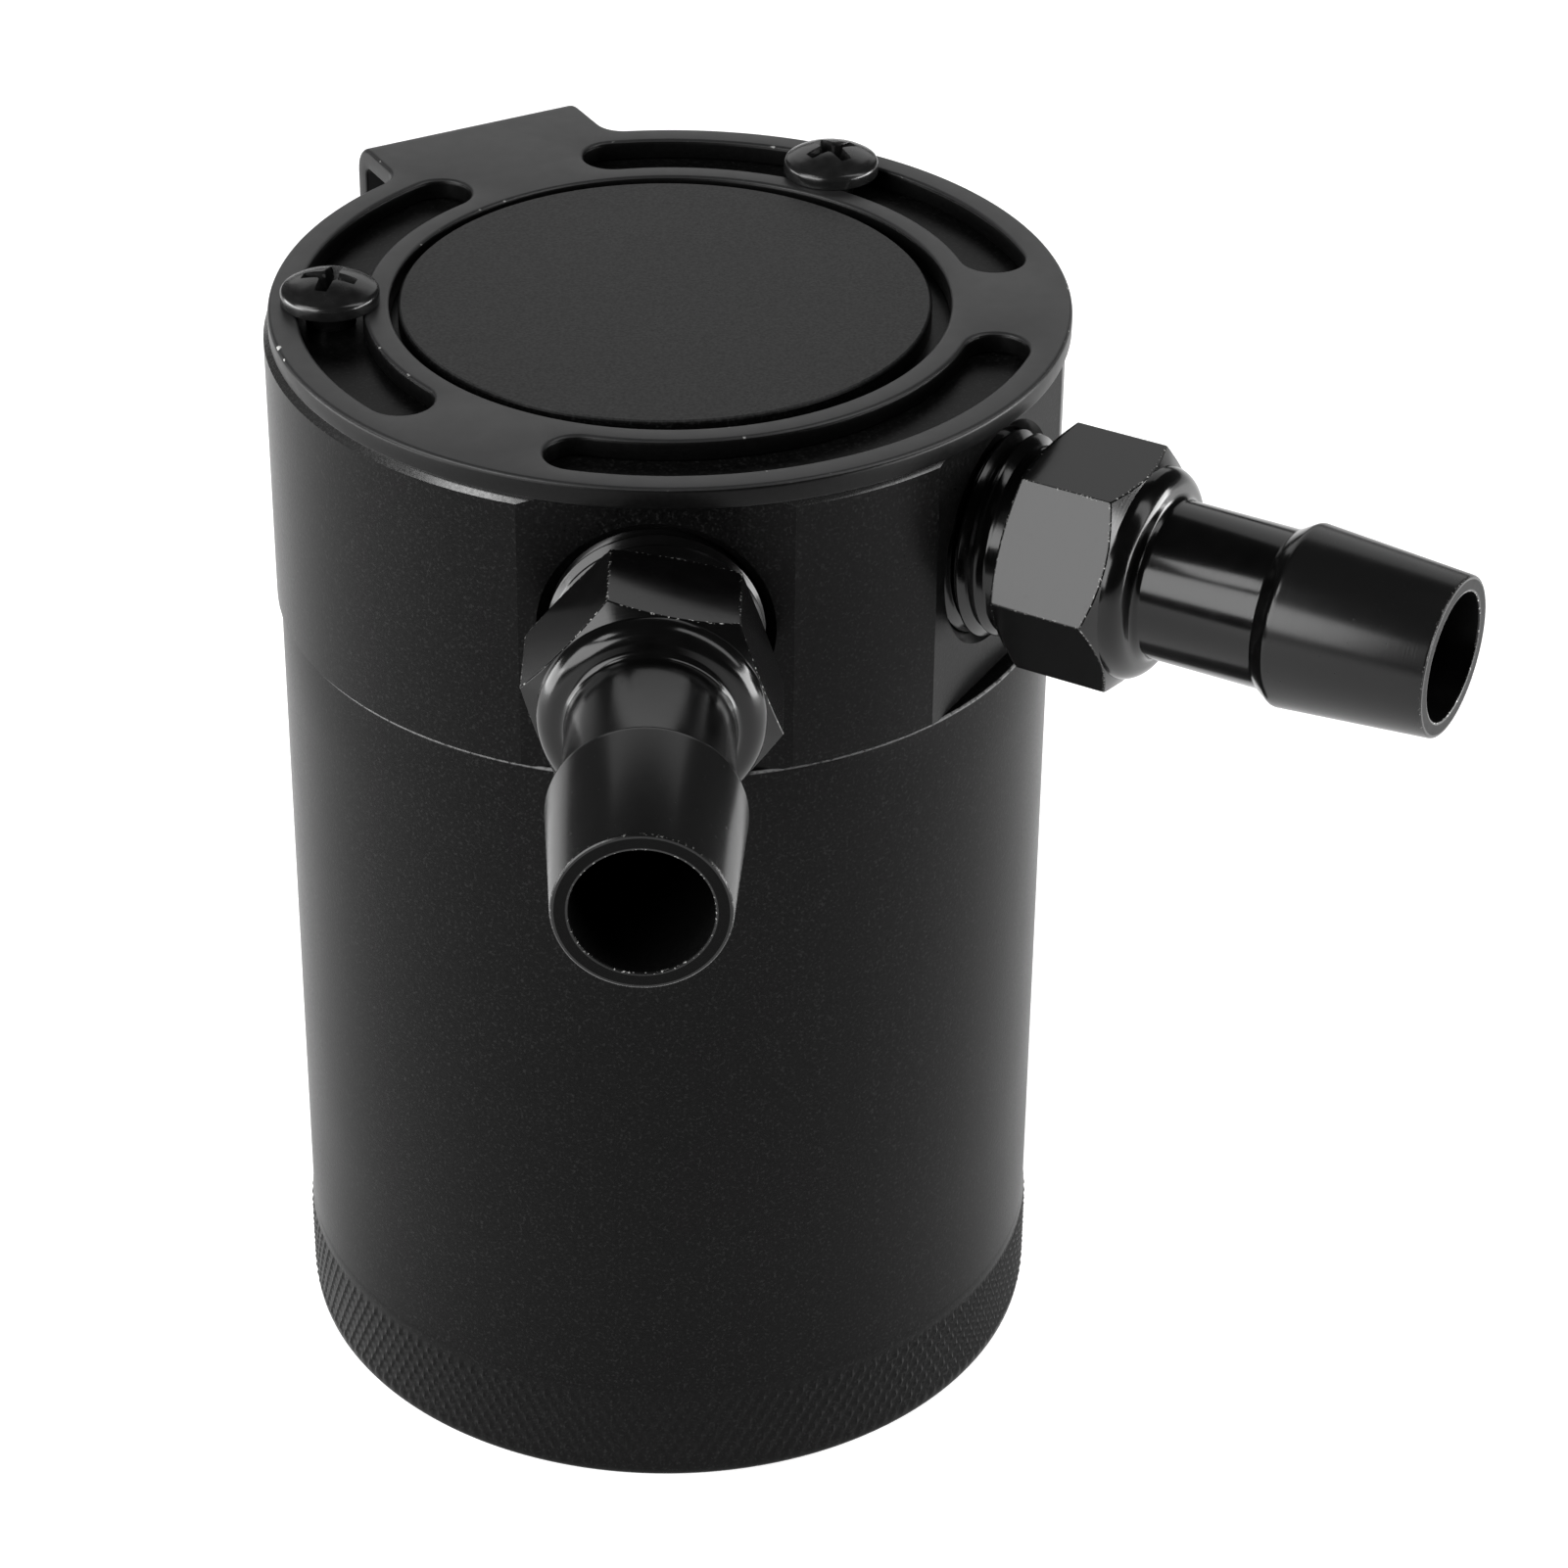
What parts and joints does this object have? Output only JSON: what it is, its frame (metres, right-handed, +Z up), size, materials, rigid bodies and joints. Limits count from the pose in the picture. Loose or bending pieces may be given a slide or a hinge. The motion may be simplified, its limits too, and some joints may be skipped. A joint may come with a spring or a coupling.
{
  "type": "oil catch can",
  "caption": "Round baffled oil catch can: a screw-on can below a solid head with barbed inlet and outlet fittings, hung from a slotted ring bracket with a bolt-on tab.",
  "frame": {"origin": "centre of the can's base, where its axis meets the face that it stands on", "axes": "+Z up along the can's axis; +Y towards the bracket's mounting tab; +X to the right, seen from the side of the hose fittings"},
  "size_m": [0.1005, 0.1266, 0.1221],
  "materials": {
    "black_anodised": "satin black anodised, turned from bar",
    "black_gloss": "bright-dipped black anodised, glossy",
    "black_coat": "black electrocoat on steel sheet",
    "black_oxide": "black oxide, oiled",
    "seal_rubber": "oil-resistant rubber",
    "bare_aluminium": "bare, as cut",
    "yellow_brass": "turned brass",
    "bronze_grain": "sintered bronze grains",
    "zinc_plate": "zinc plated"
  },
  "bodies": {
    "bracket": {"bracket": "black_coat"},
    "head": {"head_block": "black_anodised", "bracket_screw_left": "black_oxide", "bracket_screw_right": "black_oxide", "inlet_fitting": "black_gloss", "outlet_fitting": "black_gloss", "inlet_tube": "bare_aluminium", "filter_base": "yellow_brass", "filter_cup": "bronze_grain", "baffle_plate": "bare_aluminium", "standoff_1": "zinc_plate", "standoff_2": "zinc_plate", "standoff_3": "zinc_plate", "baffle_screw_1": "zinc_plate", "baffle_screw_2": "zinc_plate", "baffle_screw_3": "zinc_plate", "lock_washer_1": "zinc_plate", "lock_washer_2": "zinc_plate", "lock_washer_3": "zinc_plate"},
    "seal": {"can_seal": "seal_rubber"},
    "can": {"can_body": "black_anodised"}
  },
  "joints": [
    {"name": "bracket_swivel", "type": "hinge", "parent": "bracket", "child": "head", "pos_m": [0.0004, -0.0004, 0.1174], "axis": [0, 0, 1], "range_deg": [-43, 39]},
    {"name": "can_screw", "type": "hinge", "parent": "head", "child": "seal", "pos_m": [0, 0, 0.0878], "axis": [0, 0, -1], "range_deg": [0, 1440]},
    {"name": "can_drop", "type": "slide", "parent": "seal", "child": "can", "axis": [0, 0, -1], "range_m": [0, 0.008]}
  ],
  "couplings": [
    {"joint": "can_drop", "follows": "can_screw", "m_per_rad": 0.0003183}
  ]
}
